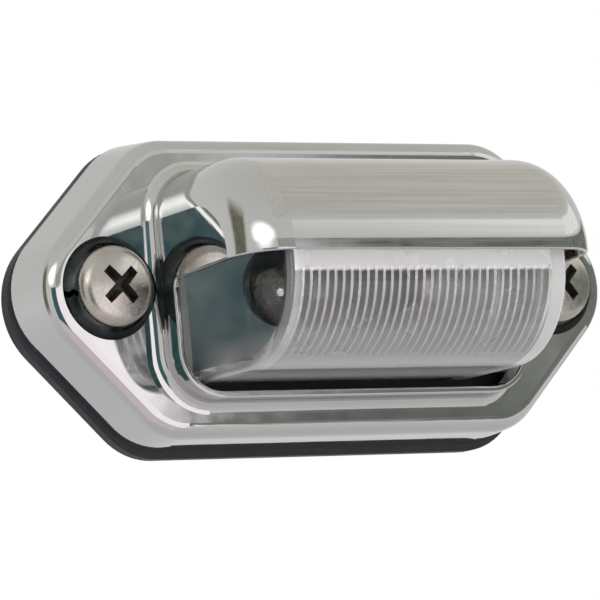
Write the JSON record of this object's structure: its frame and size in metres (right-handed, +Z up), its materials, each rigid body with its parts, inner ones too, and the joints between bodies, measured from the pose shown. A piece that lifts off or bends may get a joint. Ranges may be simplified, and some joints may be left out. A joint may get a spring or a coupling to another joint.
{
  "type": "number plate lamp",
  "caption": "Chromed hooded lamp with a clear fluted lens under its hood, screwed by its pointed ends to a vehicle over a rubber gasket to light the number plate.",
  "frame": {"origin": "midway between the two screws on the gasket's back, the plane that lies on the vehicle", "axes": "+X along the lamp between the screws, +Y into the vehicle, +Z up as mounted"},
  "size_m": [0.0816, 0.0413, 0.0382],
  "materials": {
    "housing": "polished plate on pressed steel",
    "lens": "clear, smooth outside, fluted inside",
    "lens_seal": "soft black",
    "base_plate": "zinc plated",
    "mounting_gasket": "soft black",
    "mounting_screws": "satin nickel",
    "spring_washers": "blackened",
    "socket_bracket": "zinc plated",
    "bracket_rivets": "plain",
    "bulb_socket": "zinc plated",
    "socket_insulator": "brown laminate",
    "contact_plunger": "plain",
    "contact_spring": "spring wire",
    "contact_terminal": "plain",
    "bulb_glass": "smoky",
    "bulb_cap": "nickelled",
    "bulb_insulator": "black",
    "bulb_contact": "solder",
    "bulb_stem": "clear",
    "filament_leads": "wire",
    "bulb_filament": "coiled wire",
    "wire_grommet": "soft black"
  },
  "bodies": {
    "root": {"housing": "housing", "lens": "lens", "lens_seal": "lens_seal", "base_plate": "base_plate", "mounting_gasket": "mounting_gasket", "mounting_screws": "mounting_screws", "spring_washers": "spring_washers", "socket_bracket": "socket_bracket", "bracket_rivets": "bracket_rivets", "bulb_socket": "bulb_socket", "socket_insulator": "socket_insulator", "contact_plunger": "contact_plunger", "contact_spring": "contact_spring", "contact_terminal": "contact_terminal", "bulb_glass": "bulb_glass", "bulb_cap": "bulb_cap", "bulb_insulator": "bulb_insulator", "bulb_contact": "bulb_contact", "bulb_stem": "bulb_stem", "filament_leads": "filament_leads", "bulb_filament": "bulb_filament", "wire_grommet": "wire_grommet"}
  },
  "joints": []
}
